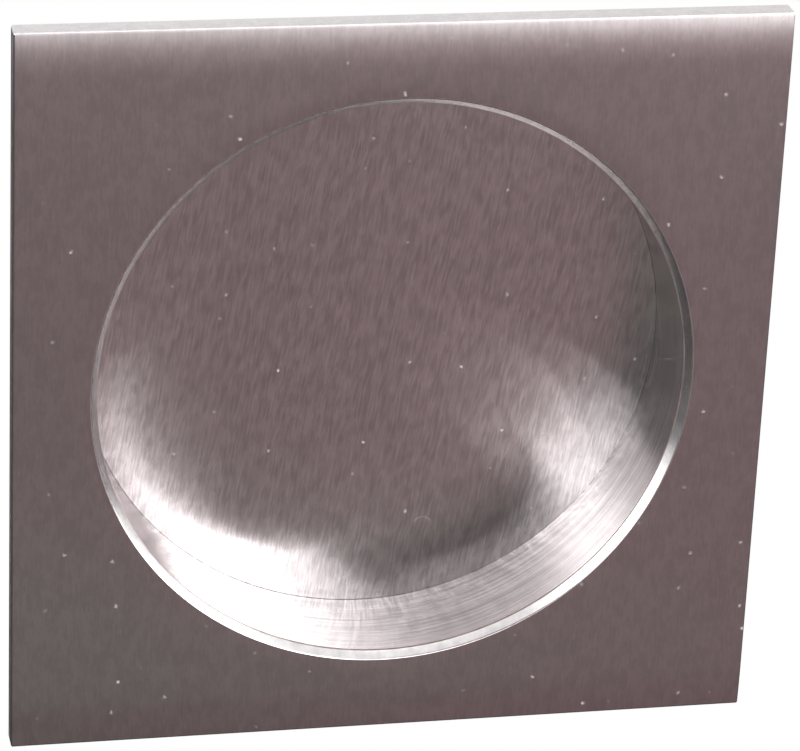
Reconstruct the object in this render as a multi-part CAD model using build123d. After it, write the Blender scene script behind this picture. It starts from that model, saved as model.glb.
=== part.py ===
"""Recessed pull handle: a square face plate with a round, flat-bottomed finger recess.

Four pieces: a face plate, a turned cup pressed into the back of the plate, a brushed disc that covers
the cup's base and its screw holes, and the adhesive pad that holds the disc down.

Frame, in millimetres: X to the right and Z up, as the user of the door sees it, with the front facing -Y.
The origin is on the cup's axis, in the plane of the plate's back face, which lies on the door.
"""
from build123d import *
import os
from math import radians, tan

# --- Face plate ---------------------------------------------------------------------------------
plate_width = 90.0             # and its height: the plate is square
plate_thickness = 3.0
plate_corner_radius = 0.4      # the four short corner edges, as cut and deburred
plate_edge_break = 0.15        # chamfer round the front and back faces
rolloff_width = 6.0            # strip along the top and bottom edges that the brushing belt rounds off
rolloff_drop = 0.18            # how far that strip has fallen at the plate's edge

# --- Opening ------------------------------------------------------------------------------------
opening_diameter = 70.2        # between the lip's inner edges
lip_thickness = 1.15           # metal left in front of the cup's mouth
lip_round = 1.0                # radius rolled on the opening's front edge
dub_width = 3.0                # ring of the face round the opening that polishing has eased down
dub_drop = 0.09                # how far the face has fallen where that ring meets the opening

# --- Cup ----------------------------------------------------------------------------------------
recess_depth = 14.8            # from the plate's front face to the cover disc
cup_outside_diameter = 73.0    # what goes into the door
cup_wall = 1.2
cup_base = 2.0
cup_back_round = 1.0           # outer corner between the cup's wall and its base
cup_mouth_chamfer = 0.1        # inner edge of the mouth, which shows as a fine line under the lip
spigot_step = 0.5              # how much the cup is turned down where it goes into the plate
seat_clearance = 0.02          # radial gap between the spigot and its seat, filled by the retaining bond
seat_lead_in = 0.6             # chamfer at the back of the seat, wider than the spigot's step

# --- Screw holes in the cup's base ----------------------------------------------------------------
screw_count = 3
screw_circle_diameter = 44.0
screw_hole_diameter = 4.2      # for a 3.5 mm wood screw
screw_head_diameter = 7.4      # width of the countersink
screw_head_angle = 90

# --- Cover disc and its pad -----------------------------------------------------------------------
disc_thickness = 0.8
disc_gap = 0.02                # radial gap between the disc and the cup's wall, into which it is pressed
disc_edge_break = 0.03
pad_thickness = 0.4
pad_inset = 3.0                # the pad stops this far inside the disc's edge
pad_hole_clearance = 0.6       # radial room round each screw head

# --- Sizes that follow ----------------------------------------------------------------------------
front_y = -plate_thickness
opening_radius = opening_diameter / 2
mouth_y = front_y + lip_thickness
disc_front_y = front_y + recess_depth
disc_back_y = disc_front_y + disc_thickness
base_front_y = disc_back_y + pad_thickness
base_back_y = base_front_y + cup_base
cup_outside_radius = cup_outside_diameter / 2
cup_inside_radius = cup_outside_radius - cup_wall
spigot_radius = cup_outside_radius - spigot_step
seat_radius = spigot_radius + seat_clearance
disc_radius = cup_inside_radius - disc_gap
pad_radius = disc_radius - pad_inset

from_base = (Align.CENTER, Align.CENTER, Align.MIN)


def turned(profile: Sketch) -> Part:
    """Spin a profile drawn in the XY plane, with its radius along +X, about the cup's axis."""
    return revolve(profile, axis=Axis.Y)


def round_disc(radius: float, front: float, back: float) -> Part:
    """A flat disc on the cup's axis, between two planes."""
    across = Plane(origin=(0, front, 0), z_dir=(0, 1, 0))
    return across * Cylinder(radius, back - front, align=from_base)


def screw_places(back: float) -> list:
    """The screws' places on a plane across the cup's axis, facing the front, the first at the top."""
    across = Plane(origin=(0, back, 0), x_dir=(0, 0, 1), z_dir=(0, -1, 0))
    return [across * place for place in PolarLocations(screw_circle_diameter / 2, screw_count)]


def on_front_outline(edge: Edge) -> bool:
    """True for the edges that go round the front face, and not for those that cross it."""
    middle = edge.position_at(0.5)
    near_outline = plate_width / 2 - plate_corner_radius
    in_front = middle.Y <= front_y + rolloff_drop
    return in_front and max(abs(middle.X), abs(middle.Z)) > near_outline


def plate_blank() -> Part:
    """The square plate: flat in front, falling gently along its top and bottom edges."""
    half = plate_width / 2
    flat = half - rolloff_width
    edge_y = front_y + rolloff_drop
    with BuildSketch(Plane.YZ) as section:
        with BuildLine():
            Polyline((edge_y, half), (0, half), (0, -half), (edge_y, -half))
            TangentArc((front_y, -flat), (edge_y, -half), tangent=(0, -1))
            Line((front_y, -flat), (front_y, flat))
            TangentArc((front_y, flat), (edge_y, half), tangent=(0, 1))
        make_face()
    blank = extrude(section.sketch, amount=half, both=True)
    blank = fillet(blank.edges().filter_by(Axis.Y), plate_corner_radius)
    back_face = blank.faces().sort_by(Axis.Y)[-1]
    blank = chamfer(back_face.outer_wire().edges(), plate_edge_break)
    return chamfer([edge for edge in blank.edges() if on_front_outline(edge)], plate_edge_break)


def opening_cut() -> Part:
    """What is taken out of the plate from the front: the rolled opening down to the cup's mouth."""
    dub_start = opening_radius + dub_width
    clear_of_plate = front_y - plate_thickness
    with BuildSketch(Plane.XY) as profile:
        with BuildLine():
            Polyline((dub_start, front_y), (dub_start, clear_of_plate), (0, clear_of_plate))
            Polyline((0, clear_of_plate), (0, mouth_y), (opening_radius, mouth_y))
            Line((opening_radius, mouth_y), (opening_radius, front_y + dub_drop))
            TangentArc((dub_start, front_y), (opening_radius, front_y + dub_drop), tangent=(-1, 0))
        make_face()
        rim = profile.vertices().sort_by_distance((opening_radius, front_y + dub_drop))[0]
        fillet(rim, lip_round)
    return turned(profile.sketch)


def seat_cut() -> Part:
    """The seat for the cup's spigot, bored from the back, with its lead-in chamfer."""
    with BuildSketch(Plane.XY) as profile:
        with BuildLine():
            Polyline(
                (0, mouth_y),
                (seat_radius, mouth_y),
                (seat_radius, -seat_lead_in),
                (seat_radius + seat_lead_in, 0),
                (0, 0),
                close=True,
            )
        make_face()
    return turned(profile.sketch)


def face_plate() -> Part:
    """Square metal plate with the rolled opening, its front brushed from top to bottom."""
    return plate_blank() - opening_cut() - seat_cut()


def screw_cutters() -> list:
    """Countersunk through holes, one for each screw, wide towards the front."""
    hole_radius = screw_hole_diameter / 2
    head_radius = screw_head_diameter / 2
    sink_depth = (head_radius - hole_radius) / tan(radians(screw_head_angle / 2))
    shank = Cylinder(hole_radius, cup_base, align=from_base)
    sink = Cone(hole_radius, head_radius, sink_depth, align=from_base)
    cutter = shank + Pos(0, 0, cup_base - sink_depth) * sink
    return [place * cutter for place in screw_places(base_back_y)]


def recess_cup() -> Part:
    """Cup turned from bar: a thin wall with a spigot at its mouth, and a thicker base."""
    with BuildSketch(Plane.XY) as profile:
        with BuildLine():
            Polyline(
                (0, base_front_y),
                (cup_inside_radius, base_front_y),
                (cup_inside_radius, mouth_y + cup_mouth_chamfer),
                (cup_inside_radius + cup_mouth_chamfer, mouth_y),
                (spigot_radius, mouth_y),
                (spigot_radius, 0),
                (cup_outside_radius, 0),
                (cup_outside_radius, base_back_y),
                (0, base_back_y),
                close=True,
            )
        make_face()
        back_corner = profile.vertices().sort_by_distance((cup_outside_radius, base_back_y))[0]
        fillet(back_corner, cup_back_round)
    return turned(profile.sketch) - screw_cutters()


def cover_disc() -> Part:
    """Sheet disc brushed in straight lines, laid over the base to hide the screws."""
    disc = round_disc(disc_radius, disc_front_y, disc_back_y)
    return chamfer(disc.edges().filter_by(GeomType.CIRCLE), disc_edge_break)


def disc_pad() -> Part:
    """Double-sided adhesive pad under the cover disc, cut away round the screw heads."""
    hole_radius = screw_head_diameter / 2 + pad_hole_clearance
    hole = Cylinder(hole_radius, pad_thickness, align=from_base)
    holes = [place * hole for place in screw_places(base_front_y)]
    return round_disc(pad_radius, disc_back_y, base_front_y) - holes


pieces = {
    "face_plate": face_plate(),
    "recess_cup": recess_cup(),
    "cover_disc": cover_disc(),
    "disc_pad": disc_pad(),
}

os.makedirs("parts", exist_ok=True)
for name, solid in pieces.items():
    export_step(solid, f"parts/{name}.step")
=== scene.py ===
from math import atan2, cos, pi, radians, sin, tan

import bmesh
import bpy
from mathutils import Matrix, Vector


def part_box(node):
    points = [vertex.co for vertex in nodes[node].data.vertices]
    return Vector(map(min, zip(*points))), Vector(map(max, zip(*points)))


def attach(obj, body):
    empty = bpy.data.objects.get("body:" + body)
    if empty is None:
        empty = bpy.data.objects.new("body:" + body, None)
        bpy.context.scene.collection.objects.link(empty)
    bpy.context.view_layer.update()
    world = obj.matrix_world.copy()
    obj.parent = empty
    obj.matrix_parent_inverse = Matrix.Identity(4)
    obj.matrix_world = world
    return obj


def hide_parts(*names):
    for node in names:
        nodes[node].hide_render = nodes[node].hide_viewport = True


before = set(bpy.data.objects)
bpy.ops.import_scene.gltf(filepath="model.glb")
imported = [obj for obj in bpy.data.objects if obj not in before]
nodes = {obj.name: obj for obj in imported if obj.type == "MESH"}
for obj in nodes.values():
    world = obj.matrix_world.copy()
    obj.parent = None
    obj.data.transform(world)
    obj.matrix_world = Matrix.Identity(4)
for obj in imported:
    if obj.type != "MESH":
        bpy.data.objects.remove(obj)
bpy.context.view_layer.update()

# --- Camera ---------------------------------------------------------------------------------------
# A long lens about half a metre in front of the plate, above it and to its left, turned a little.
camera_place = Vector((-0.0947, -0.4326, 0.1958))
camera_aim = Vector((0.0004, -0.0030, 0.0015))
camera_roll = radians(2.6)
camera_lens = 185.1
sensor_width = 36.0
nearest_seen = 0.01

camera_data = bpy.data.cameras.new("camera")
camera_data.lens = camera_lens
camera_data.sensor_width = sensor_width
camera_data.clip_start = nearest_seen
camera = bpy.data.objects.new("camera", camera_data)
look = (camera_aim - camera_place).to_track_quat("-Z", "Y").to_matrix().to_4x4()
camera.matrix_world = Matrix.Translation(camera_place) @ look @ Matrix.Rotation(camera_roll, 4, "Z")
bpy.context.scene.collection.objects.link(camera)
bpy.context.scene.camera = camera
bpy.context.scene.view_settings.view_transform = "Standard"

# --- Floor ----------------------------------------------------------------------------------------
# A pale floor well below the handle, which in use sits in a door, off the ground.
floor_drop = 0.50
floor_size = 12.0
floor_colour = (0.82, 0.82, 0.82, 1.0)
matt_roughness = 0.9
plain_white = (1.0, 1.0, 1.0, 1.0)


def new_surface(name):
    """A new material, its node tree and its surface shader."""
    material = bpy.data.materials.new(name)
    material.use_nodes = True
    return material, material.node_tree, material.node_tree.nodes["Principled BSDF"]


def stage_material(name, colour):
    """A matt surface, for the things that stand round the handle."""
    material, _, paint = new_surface(name)
    paint.inputs["Base Color"].default_value = colour
    paint.inputs["Roughness"].default_value = matt_roughness
    return material


def arithmetic(tree, operation, first, second):
    """What one operation makes of two values, each an output or a number."""
    sum_node = tree.nodes.new("ShaderNodeMath")
    sum_node.operation = operation
    for socket, value in zip(sum_node.inputs, (first, second)):
        if isinstance(value, (int, float)):
            socket.default_value = value
        else:
            tree.links.new(value, socket)
    return sum_node.outputs[0]


def seen_white(tree, shader):
    """Shows white to the camera and in reflections, and what shader gives to every other ray."""
    ray = tree.nodes.new("ShaderNodeLightPath")
    seen = ray.outputs["Is Camera Ray"]
    for kind in ("Is Transmission Ray", "Is Glossy Ray"):
        seen = arithmetic(tree, "MAXIMUM", seen, ray.outputs[kind])
    in_world = shader.bl_idname == "ShaderNodeBackground"
    white = tree.nodes.new("ShaderNodeBackground" if in_world else "ShaderNodeEmission")
    white.inputs["Color"].default_value = plain_white
    white.inputs["Strength"].default_value = 1.0
    mix = tree.nodes.new("ShaderNodeMixShader")
    tree.links.new(seen, mix.inputs["Fac"])
    tree.links.new(shader.outputs[0], mix.inputs[1])
    tree.links.new(white.outputs[0], mix.inputs[2])
    return mix


bpy.ops.object.select_all(action="DESELECT")
bpy.ops.mesh.primitive_plane_add(size=floor_size, location=(0, 0, -floor_drop))
floor = bpy.context.object
floor.name = "floor"
floor_material = stage_material("floor_paint", floor_colour)
floor_tree = floor_material.node_tree
floor_seen = seen_white(floor_tree, floor_tree.nodes["Principled BSDF"])
floor_tree.links.new(floor_seen.outputs[0], floor_tree.nodes["Material Output"].inputs["Surface"])
floor.data.materials.append(floor_material)

# --- World ----------------------------------------------------------------------------------------
# A white room: it shows white behind the handle and in the metal, and lights it weakly.
room_light = 0.35

world = bpy.data.worlds.new("room")
bpy.context.scene.world = world
world.use_nodes = True
world_tree = world.node_tree
room = world_tree.nodes["Background"]
room.inputs["Color"].default_value = plain_white
room.inputs["Strength"].default_value = room_light
world_seen = seen_white(world_tree, room)
world_tree.links.new(world_seen.outputs[0], world_tree.nodes["World Output"].inputs["Surface"])

# --- Lamps and cards ------------------------------------------------------------------------------
# Polished metal shows what stands round it. A dark cloth lies on a low table below the handle,
# so the flat faces read as mid grey. Softboxes stand left and right, a smaller one hangs above,
# and a dark curtain hangs behind the lens, so the inside of the cup goes from dark to bright.
cloth_drop = 0.21
cloth_colour = (0.193, 0.108, 0.116, 1.0)
felt_colour = (0.024, 0.020, 0.020, 1.0)
faded_felt_colour = (0.060, 0.042, 0.044, 1.0)
runner_colour = (0.133, 0.140, 0.124, 1.0)
lamp_distance = 1.0

# Over the dark mauve cloth lie black felt on the left and close under the handle, faded felt on
# the right, and an olive runner beside and in front of the handle, which takes the mauve out of
# the plate's left and lower edges. Each lies a little higher than what is under it: the rows give
# its middle, its height over the cloth's, its size and its colour.
for name, middle, lift, size, colour in (
    ("table_cloth", (0.40, -0.25), 0.000, (3.60, 2.10), cloth_colour),
    ("felt_left", (-1.60, -0.25), 0.002, (3.00, 2.10), felt_colour),
    ("runner_left", (-0.05, -0.25), 0.001, (0.10, 2.10), runner_colour),
    ("runner_near", (-0.27, -0.33), 0.003, (0.70, 0.10), runner_colour),
    ("felt_right", (1.24, 0.05), 0.002, (1.92, 1.50), faded_felt_colour),
    ("felt_near", (0.40, 0.315), 0.004, (3.60, 1.00), felt_colour),
):
    bpy.ops.object.select_all(action="DESELECT")
    bpy.ops.mesh.primitive_plane_add(size=1, location=(*middle, lift - cloth_drop))
    cover = bpy.context.object
    cover.name = name
    cover.scale = (*size, 1)
    bpy.ops.object.transform_apply(location=True, scale=True)
    cover.data.materials.append(stage_material(name, colour))
    cover.visible_camera = False


def facing_handle(azimuth, elevation, distance, roll=0.0):
    """A place seen from the handle at these angles, azimuth to the right of straight ahead,
    and the turn that makes a thing there face the handle, rolled about the line to it."""
    a, e = radians(azimuth), radians(elevation)
    out = Vector((sin(a) * cos(e), -cos(a) * cos(e), sin(e)))
    upright = out.to_track_quat("Z", "Y").to_matrix().to_4x4()
    return Matrix.Translation(out * distance) @ upright @ Matrix.Rotation(radians(roll), 4, "Z")


def softbox(name, azimuth, elevation, roll, width, height, radiance):
    """A rectangular lamp that faces the handle and is as bright all over as radiance says."""
    lamp = bpy.data.lights.new(name, "AREA")
    lamp.shape = "RECTANGLE"
    lamp.size = width
    lamp.size_y = height
    lamp.energy = radiance * width * height * pi
    box = bpy.data.objects.new(name, lamp)
    box.matrix_world = facing_handle(azimuth, elevation, lamp_distance, roll)
    bpy.context.scene.collection.objects.link(box)


softbox("softbox_right", azimuth=39, elevation=12, roll=13, width=1.60, height=0.84, radiance=3.0)
softbox("softbox_left", azimuth=-69, elevation=21.5, roll=6, width=1.83, height=0.66, radiance=2.7)
softbox("softbox_top", azimuth=0, elevation=74, roll=0, width=0.74, height=0.24, radiance=1.1)

# The dark screen behind the lens is a cloth tied together at its foot and gathered at its top:
# the width and the height of each of its three rows of corners, from the foot up.
curtain_rows = {-1: (0.01, -0.475), 0: (0.93, 0.0), 1: (0.40, 0.34)}
curtain_colour = (0.075, 0.024, 0.033, 1.0)
bpy.ops.object.select_all(action="DESELECT")
bpy.ops.mesh.primitive_grid_add(x_subdivisions=1, y_subdivisions=2, size=1)
curtain = bpy.context.object
curtain.name = "curtain"
for corner in curtain.data.vertices:
    width, corner.co.y = curtain_rows[round(corner.co.y * 2)]
    corner.co.x *= width
curtain.matrix_world = facing_handle(azimuth=-8.4, elevation=29, distance=0.85)
curtain.data.materials.append(stage_material("curtain_cloth", curtain_colour))
curtain.visible_camera = False

# --- Brushed metal, for the plate and the disc ----------------------------------------------------
# Satin stainless, drawn past an abrasive belt: straight hairlines, a few deeper ones carrying a
# painted highlight, faint clouds where the belt pressed unevenly, and specks of lint lying on the metal.
steel_colour = (0.70, 0.665, 0.67)
# Near white: the painted highlights on the few deeper hairlines and on the cup's strokes, and the polished
# lip's haze.
highlight_and_haze_colour = (1.0, 0.97, 0.97)
lint_colour = (0.92, 0.90, 0.90)
lint_size = 0.00028
lint_raggedness = 0.8
lint_brightest = 0.8
lint_rarity = 2.5
cloud_grain = (0.0012, 0.0012, 0.0020)
glint_line_turn = radians(4)
glint_line_scale = (0.7, 0.7, 0.6)
hair_height = 0.000002


def place_in(tree, size, turn=(0.0, 0.0, 0.0)):
    """The piece's own coordinates, turned, then divided by the size of one grain of a pattern."""
    own = tree.nodes.new("ShaderNodeTexCoord")
    turned = tree.nodes.new("ShaderNodeMapping")
    turned.inputs["Rotation"].default_value = turn
    tree.links.new(own.outputs["Object"], turned.inputs["Vector"])
    scaled = tree.nodes.new("ShaderNodeMapping")
    scaled.inputs["Scale"].default_value = tuple(1 / length for length in size)
    tree.links.new(turned.outputs[0], scaled.inputs["Vector"])
    return scaled.outputs[0]


def grain(tree, size, turn=(0.0, 0.0, 0.0), detail=2.0):
    """Cloudy noise whose grains have this size, in metres, along each axis."""
    noise = tree.nodes.new("ShaderNodeTexNoise")
    noise.inputs["Scale"].default_value = 1.0
    noise.inputs["Detail"].default_value = detail
    noise.inputs["Roughness"].default_value = 0.6
    tree.links.new(place_in(tree, size, turn), noise.inputs["Vector"])
    return noise.outputs["Fac"]


def ramp(tree, value, low, high, bottom=0.0, top=1.0):
    """Value taken from bottom to top as it goes from low to high, and held beyond."""
    step = tree.nodes.new("ShaderNodeMapRange")
    step.inputs["From Min"].default_value = low
    step.inputs["From Max"].default_value = high
    step.inputs["To Min"].default_value = bottom
    step.inputs["To Max"].default_value = top
    tree.links.new(value, step.inputs["Value"])
    return step.outputs["Result"]


def tint(tree, share, under, over):
    """Colour under, going over to another by a share. Either may be an output or a plain colour."""
    mix = tree.nodes.new("ShaderNodeMix")
    mix.data_type = "RGBA"
    tree.links.new(share, mix.inputs["Factor"])
    for socket, colour in ((mix.inputs[6], under), (mix.inputs[7], over)):
        if isinstance(colour, tuple):
            socket.default_value = colour + (1.0,)
        else:
            tree.links.new(colour, socket)
    return mix.outputs[2]


def steel_shades(contrast):
    """The steel's colour made darker and lighter by a share."""
    darker = tuple(channel * (1 - contrast) for channel in steel_colour)
    lighter = tuple(min(1.0, channel * (1 + contrast)) for channel in steel_colour)
    return darker, lighter


def add_bump(tree, surface, pattern, height):
    """Raises a surface by up to this height where a pattern is strong."""
    bump = tree.nodes.new("ShaderNodeBump")
    bump.inputs["Strength"].default_value = 1.0
    bump.inputs["Distance"].default_value = height
    tree.links.new(pattern, bump.inputs["Height"])
    tree.links.new(bump.outputs[0], surface.inputs["Normal"])


def lint(tree, spacing, speck):
    """How thickly lint covers a face that looks along Y: one ragged speck in each spacing squared,
    few of them bright."""
    cells = tree.nodes.new("ShaderNodeTexVoronoi")
    cells.voronoi_dimensions = "2D"
    cells.inputs["Scale"].default_value = 1.0
    facing = place_in(tree, (spacing, spacing, spacing), (radians(90), 0, 0))
    tree.links.new(facing, cells.inputs["Vector"])
    chance = tree.nodes.new("ShaderNodeSeparateColor")
    tree.links.new(cells.outputs["Color"], chance.inputs[0])
    reach = speck / spacing
    uneven = lint_raggedness * reach
    ragged = ramp(tree, grain(tree, (speck, speck, speck)), 0.2, 0.8, -uneven, uneven)
    near = ramp(tree, arithmetic(tree, "ADD", cells.outputs["Distance"], ragged), reach, 0.0)
    few = arithmetic(tree, "POWER", chance.outputs[0], lint_rarity)
    bright = arithmetic(tree, "MULTIPLY", few, lint_brightest)
    return arithmetic(tree, "MULTIPLY", near, bright)


def brushed_metal(
    name, lean, roughness, hairline, contrast, glint_share, cloudiness, dust_spacing, mark=None
):
    """Satin metal brushed up and down in lines that lean to the right by an angle. A hairline is a
    width and a length, and mark draws what else lies on the metal."""
    material, tree, metal = new_surface(name)
    metal.inputs["Roughness"].default_value = roughness
    metal.inputs["Anisotropic"].default_value = 1.0
    across = tree.nodes.new("ShaderNodeCombineXYZ")
    across.inputs["X"].default_value = cos(lean)
    across.inputs["Z"].default_value = -sin(lean)
    tree.links.new(across.outputs[0], metal.inputs["Tangent"])

    width, length = hairline
    along_lines = (0.0, -lean, 0.0)
    hairs = grain(tree, (width, width, length), along_lines, detail=4.0)
    # A few deeper hairlines are tinted towards near white: a painted highlight along them.
    glint_line_size = tuple(size * scale for size, scale in zip((width, width, length), glint_line_scale))
    glint_lines = grain(tree, glint_line_size, (0.0, glint_line_turn - lean, 0.0), detail=1.0)
    clouds = grain(tree, cloud_grain, along_lines, detail=5.0)
    shaded, lit = steel_shades(contrast)
    lines = ramp(tree, hairs, 0.35, 0.65)
    patches = ramp(tree, clouds, 0.25, 0.75, -cloudiness, cloudiness)
    colour = tint(tree, arithmetic(tree, "ADD", lines, patches), shaded, lit)
    colour = tint(tree, ramp(tree, glint_lines, 0.56, 0.76, 0.0, glint_share), colour, highlight_and_haze_colour)
    specks = lint(tree, dust_spacing, lint_size)
    if mark:
        specks = arithmetic(tree, "MAXIMUM", specks, mark(tree))
    tree.links.new(tint(tree, specks, colour, lint_colour), metal.inputs["Base Color"])
    tree.links.new(arithmetic(tree, "SUBTRACT", 1.0, specks), metal.inputs["Metallic"])
    add_bump(tree, metal, hairs, hair_height)
    return material


def finish_node(node, material):
    """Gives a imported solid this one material."""
    nodes[node].data.materials.clear()
    nodes[node].data.materials.append(material)


# --- Face plate -----------------------------------------------------------------------------------
# The square plate that shows on the door, cut from 3 mm stainless sheet, with a polished slope
# round its opening. The cup's mouth is bonded into its back. It takes the place of the packed
# solid, whose facets are too coarse for the bright line round the opening.
plate_low, plate_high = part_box("face_plate")
plate_half = plate_high.x
plate_front = plate_low.y
plate_corner = 0.0004
edge_round = 0.00018
rolloff_width = 0.006
rolloff_drop = 0.00018
opening_radius = 0.0351
dub_width = 0.003
dub_drop = 0.00009
lip_width = 0.0008
lip_depth = 0.00082
lip_soft = 0.00027
lip_inner_soft = 0.00014
lip_roughness = 0.20
lip_haze_grain = 0.0015
lip_haze_share = 0.5
seam_roughness = 0.8
seam_grain = 0.003
# Painted shade in the seam behind the lip: a mottled dark brown.
seam_shade_colour = (0.20, 0.13, 0.10)
seam_pale_shade_colour = (0.45, 0.36, 0.32)
lip_thickness = 0.00115
seat_radius = 0.03602
seat_lead_in = 0.0006
flat_margin = 0.0002
edge_guard = 0.00025
ring_points = 360
dub_steps = 6
soft_steps = 8
strip_steps = 12
edge_steps = 10
corner_segments = 5
smooth_below = radians(40)
tolerance = 1e-5
fine_tolerance = 1e-6


def arc_fall(width, drop, distance):
    """How far a face that starts level has fallen at a distance along an arc that falls by drop."""
    radius = (width * width + drop * drop) / (2 * drop)
    return radius - (radius * radius - distance * distance) ** 0.5


def nearer(a, b):
    """How far the nearer of an edge's two ends is from the handle's axis."""
    return min(a.xz.length, b.xz.length)


def pick_edges(test):
    """Selects just the edges of the mesh being edited whose two ends pass a test of their place."""
    mesh = bmesh.from_edit_mesh(bpy.context.edit_object.data)
    bpy.ops.mesh.select_all(action="DESELECT")
    for edge in mesh.edges:
        if test(edge, *(end.co for end in edge.verts)):
            edge.select_set(True)
    mesh.select_flush(True)
    bmesh.update_edit_mesh(bpy.context.edit_object.data)


def walk_ring(ring, stations):
    """Extrudes the selected ring from station to station, each a radius and a place along Y."""
    for radius, y in stations:
        bpy.ops.mesh.extrude_edges_move(TRANSFORM_OT_translate={"value": (0, y - ring[1], 0)})
        share = radius / ring[0]
        bpy.ops.transform.resize(value=(share, 1, share), center_override=(0, y, 0))
        ring = (radius, y)
    return ring


dub_start = opening_radius + dub_width
first_ring = (dub_start + flat_margin, plate_front)
rim_stations = [(dub_start, plate_front)]
# The lip slopes evenly into the opening, and its two ends are rounded.
lip_slope = atan2(lip_depth, lip_width)
soft_start = lip_width + lip_soft * tan(lip_slope / 2)
for step in range(1, dub_steps + 1):
    inward = (dub_width - soft_start) * step / dub_steps
    rim_stations.append((dub_start - inward, plate_front + arc_fall(dub_width, dub_drop, inward)))
slope_top = rim_stations[-1][1]
for step in range(1, soft_steps + 1):
    turn = lip_slope * step / soft_steps
    outward = soft_start - lip_soft * sin(turn)
    rim_stations.append((opening_radius + outward, slope_top + lip_soft * (1 - cos(turn))))
inner_end = slope_top + lip_depth + lip_inner_soft * tan((pi / 2 - lip_slope) / 2)
for step in range(soft_steps + 1):
    turn = lip_slope + (pi / 2 - lip_slope) * step / soft_steps
    outward = lip_inner_soft * (1 - sin(turn))
    rim_stations.append((opening_radius + outward, inner_end - lip_inner_soft * cos(turn)))
lip_back = plate_front + lip_thickness
rim_stations += [
    (opening_radius, lip_back),
    (seat_radius, lip_back),
    (seat_radius, -seat_lead_in),
    (seat_radius + seat_lead_in, 0.0),
]

bpy.ops.object.select_all(action="DESELECT")
bpy.ops.mesh.primitive_circle_add(
    vertices=ring_points, radius=first_ring[0], location=(0, plate_front, 0), rotation=(pi / 2, 0, 0)
)
plate = bpy.context.object
plate.name = "plate_front"
bpy.ops.object.transform_apply(location=True, rotation=True)
bpy.ops.object.mode_set(mode="EDIT")
bpy.ops.mesh.select_mode(type="EDGE")
bpy.ops.mesh.select_all(action="SELECT")
walk_ring(first_ring, rim_stations)

# The flat round the opening: a square outline joined to the first ring.
face_half = plate_half - edge_round
flat_half = plate_half - rolloff_width - flat_margin
bpy.ops.mesh.select_all(action="DESELECT")
bpy.ops.mesh.primitive_plane_add(size=1, location=(0, plate_front, 0), rotation=(pi / 2, 0, 0))
guarded_half = face_half - edge_guard
outline = (2 * guarded_half, 1, 2 * flat_half)
bpy.ops.transform.resize(value=outline, center_override=(0, plate_front, 0))
bpy.ops.mesh.delete(type="ONLY_FACE")
pick_edges(lambda edge, a, b: edge.is_wire)
bpy.ops.mesh.subdivide(number_cuts=ring_points // 4 - 1)
near_first_ring = first_ring[0] - flat_margin / 2
pick_edges(lambda edge, a, b: (edge.is_wire or edge.is_boundary) and nearer(a, b) > near_first_ring)
bpy.ops.mesh.bridge_edge_loops()
for side in (1, -1):
    pick_edges(lambda edge, a, b: edge.is_boundary and min(side * a.x, side * b.x) > guarded_half - tolerance)
    bpy.ops.mesh.extrude_edges_move(TRANSFORM_OT_translate={"value": (side * edge_guard, 0, 0)})

# The strips along the top and bottom edges, which fall away where the belt ran off the plate.
strip_end = rolloff_width - edge_round
strip_places = [strip_end * step / strip_steps for step in range(strip_steps)]
strip_places += [strip_end - edge_guard, strip_end]
strip_stations = [(outward, arc_fall(rolloff_width, rolloff_drop, outward)) for outward in strip_places]
for side in (1, -1):
    pick_edges(lambda edge, a, b: edge.is_boundary and min(side * a.z, side * b.z) > flat_half - tolerance)
    reached = (-flat_margin, 0.0)
    for station in strip_stations:
        move = (0, station[1] - reached[1], side * (station[0] - reached[0]))
        bpy.ops.mesh.extrude_edges_move(TRANSFORM_OT_translate={"value": move})
        reached = station

# The four rounded corners, the plate's edges, and its back with the hole for the cup.
sheet = bmesh.from_edit_mesh(plate.data)
bpy.ops.mesh.select_mode(type="VERT")
bpy.ops.mesh.select_all(action="DESELECT")
for point in sheet.verts:
    point.select_set(min(abs(point.co.x), abs(point.co.z)) > face_half - fine_tolerance)
bpy.ops.mesh.bevel(offset=plate_corner - edge_round, segments=corner_segments, affect="VERTICES")
bpy.ops.mesh.select_mode(type="EDGE")
pick_edges(lambda edge, a, b: edge.is_boundary and a.xz.length > first_ring[0])
edge_stations = []
for step in range(edge_steps + 1):
    turn = pi / 2 * step / edge_steps
    fall = edge_round * (1 - cos(turn))
    edge_stations.append((face_half + edge_round * sin(turn), plate_front + fall))
side_ring = walk_ring(edge_stations[0], edge_stations[1:] + [(plate_half, plate_high.y - edge_round)])
bpy.ops.transform.resize(value=(1, 0, 1), center_override=(0, side_ring[1], 0))
back_stations = [(radius, plate_front - y) for radius, y in edge_stations[-2::-1]]
walk_ring(side_ring, back_stations + [(face_half - edge_guard, 0.0)])
pick_edges(lambda edge, a, b: edge.is_boundary)
bpy.ops.mesh.bridge_edge_loops()
bpy.ops.mesh.select_all(action="SELECT")
bpy.ops.mesh.remove_doubles(threshold=1e-7)
bpy.ops.mesh.normals_make_consistent(inside=False)
bpy.ops.object.mode_set(mode="OBJECT")
bpy.ops.object.shade_smooth_by_angle(angle=smooth_below)
plate.data.materials.append(
    brushed_metal(
        "plate_brushed", lean=0.0, roughness=0.29, hairline=(0.00030, 0.0022),
        contrast=0.06, glint_share=0.12, cloudiness=1.1, dust_spacing=0.0064,
    )
)
# The slope is polished bright after the brushing, so it carries no lines.
lip, lip_tree, lip_metal = new_surface("plate_lip_polished")
lip_metal.inputs["Metallic"].default_value = 1.0
lip_metal.inputs["Roughness"].default_value = lip_roughness
lip_haze = ramp(lip_tree, grain(lip_tree, (lip_haze_grain,) * 3), 0.3, 0.7, 0.0, lip_haze_share)
lip_shade = tint(lip_tree, lip_haze, steel_colour, highlight_and_haze_colour)
lip_tree.links.new(lip_shade, lip_metal.inputs["Base Color"])
plate.data.materials.append(lip)
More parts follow.
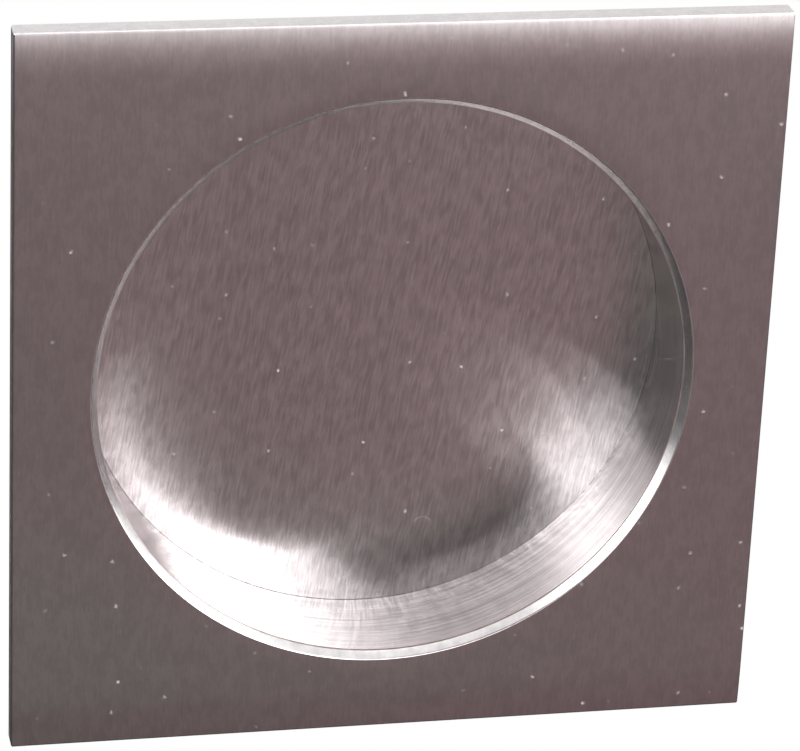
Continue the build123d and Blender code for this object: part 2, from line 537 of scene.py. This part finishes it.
# Painted shade: the seam between the lip and the cup's mouth, where the crease lies in shadow, is
# coloured a mottled matt dark brown.
seam, seam_tree, seam_surface = new_surface("plate_seam_painted_shade")
seam_surface.inputs["Roughness"].default_value = seam_roughness
seam_shade_mottle = ramp(seam_tree, grain(seam_tree, (seam_grain,) * 3), 0.3, 0.7)
seam_shade = tint(seam_tree, seam_shade_mottle, seam_shade_colour, seam_pale_shade_colour)
seam_tree.links.new(seam_shade, seam_surface.inputs["Base Color"])
plate.data.materials.append(seam)
polished_radius = opening_radius + soft_start + flat_margin / 2
seam_start = inner_end - flat_margin / 10
for face in plate.data.polygons:
    corners = [plate.data.vertices[corner].co for corner in face.vertices]
    if all(place.xz.length < polished_radius for place in corners):
        face.material_index = 2 if min(place.y for place in corners) > seam_start else 1
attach(plate, "root")
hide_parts("face_plate")

# --- Cover disc -----------------------------------------------------------------------------------
# A stainless sheet disc stuck down over the cup's base, which hides the screws. It is brushed in
# straight lines that lean by ten degrees, with one small crescent scratch below its middle.
disc_lean = radians(10)
scratch_place = Vector((0.0073, 0.0, -0.0250))
scratch_radius = 0.00095
scratch_width = 0.00022
scratch_squash = 1.5
scratch_fade = (-0.0006, 0.0003)
scratch_strength = (0.08, 0.30)


def crescent(tree):
    """The upper part of a thin ring round the scratch's place."""
    own = tree.nodes.new("ShaderNodeTexCoord")
    offset = tree.nodes.new("ShaderNodeVectorMath")
    offset.operation = "SUBTRACT"
    offset.inputs[1].default_value = scratch_place
    tree.links.new(own.outputs["Object"], offset.inputs[0])
    flat = tree.nodes.new("ShaderNodeVectorMath")
    flat.operation = "MULTIPLY"
    flat.inputs[1].default_value = (1.0, 0.0, scratch_squash)
    tree.links.new(offset.outputs[0], flat.inputs[0])
    far = tree.nodes.new("ShaderNodeVectorMath")
    far.operation = "LENGTH"
    tree.links.new(flat.outputs[0], far.inputs[0])
    parts = tree.nodes.new("ShaderNodeSeparateXYZ")
    tree.links.new(flat.outputs[0], parts.inputs[0])
    outside = arithmetic(tree, "SUBTRACT", far.outputs["Value"], scratch_radius)
    on_ring = ramp(tree, arithmetic(tree, "ABSOLUTE", outside, 0.0), scratch_width / 2, 0.0)
    upper = ramp(tree, parts.outputs["Z"], *scratch_fade, *scratch_strength)
    return arithmetic(tree, "MULTIPLY", on_ring, upper)


finish_node(
    "cover_disc",
    brushed_metal(
        "disc_brushed", lean=disc_lean, roughness=0.272, hairline=(0.00024, 0.0034),
        contrast=0.15, glint_share=0.50, cloudiness=0.7, dust_spacing=0.0056, mark=crescent,
    ),
)

# --- Recess cup -----------------------------------------------------------------------------------
# The cup that forms the recess, turned from stainless bar and bonded into the plate's back. The
# tool has left fine rings round its wall, and polishing short strokes across them near the floor,
# which carry a painted highlight.
cup_roughness = 0.12
cup_anisotropy = 0.84
ring_grain = (0.020, 0.00036, 0.020)
ring_contrast = 0.24
ring_height = 0.000001
stroke_grain = (0.0008, 0.004, 0.0008)
stroke_reach = 0.006
# How far the strokes near the floor go towards near white: a painted highlight.
stroke_glint_strength = 0.6
floor_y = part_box("cover_disc")[0].y

cup, cup_tree, cup_metal = new_surface("cup_turned")
cup_metal.inputs["Metallic"].default_value = 1.0
cup_metal.inputs["Roughness"].default_value = cup_roughness
cup_metal.inputs["Anisotropic"].default_value = cup_anisotropy
along = cup_tree.nodes.new("ShaderNodeCombineXYZ")
along.inputs["Y"].default_value = 1.0
cup_tree.links.new(along.outputs[0], cup_metal.inputs["Tangent"])
rings = grain(cup_tree, ring_grain, detail=4.0)
strokes = grain(cup_tree, stroke_grain)
ring_shade = tint(cup_tree, ramp(cup_tree, rings, 0.3, 0.7), *steel_shades(ring_contrast))
own_place = cup_tree.nodes.new("ShaderNodeTexCoord")
place_parts = cup_tree.nodes.new("ShaderNodeSeparateXYZ")
cup_tree.links.new(own_place.outputs["Object"], place_parts.inputs[0])
near_floor = ramp(cup_tree, place_parts.outputs["Y"], floor_y - stroke_reach, floor_y)
# The strokes near the floor are tinted towards near white: a painted highlight along them.
glinting_strokes = ramp(cup_tree, strokes, 0.50, 0.70, 0.0, stroke_glint_strength)
stroke_glints = arithmetic(cup_tree, "MULTIPLY", glinting_strokes, near_floor)
cup_shade = tint(cup_tree, stroke_glints, ring_shade, highlight_and_haze_colour)
cup_tree.links.new(cup_shade, cup_metal.inputs["Base Color"])
add_bump(cup_tree, cup_metal, rings, ring_height)
finish_node("recess_cup", cup)

# --- Disc pad -------------------------------------------------------------------------------------
# The double-sided foam pad that holds the disc down on the cup's base, shut in between the two,
# with room round the three screw heads.
pad_roughness = 0.95
foam_grain = 0.0004
foam_dark = (0.72, 0.71, 0.68)
foam_light = (0.84, 0.83, 0.80)

pad_foam, pad_tree, pad_surface = new_surface("pad_foam")
pad_surface.inputs["Roughness"].default_value = pad_roughness
foam_cells = ramp(pad_tree, grain(pad_tree, (foam_grain,) * 3), 0.35, 0.65)
foam_shade = tint(pad_tree, foam_cells, foam_dark, foam_light)
pad_tree.links.new(foam_shade, pad_surface.inputs["Base Color"])
finish_node("disc_pad", pad_foam)
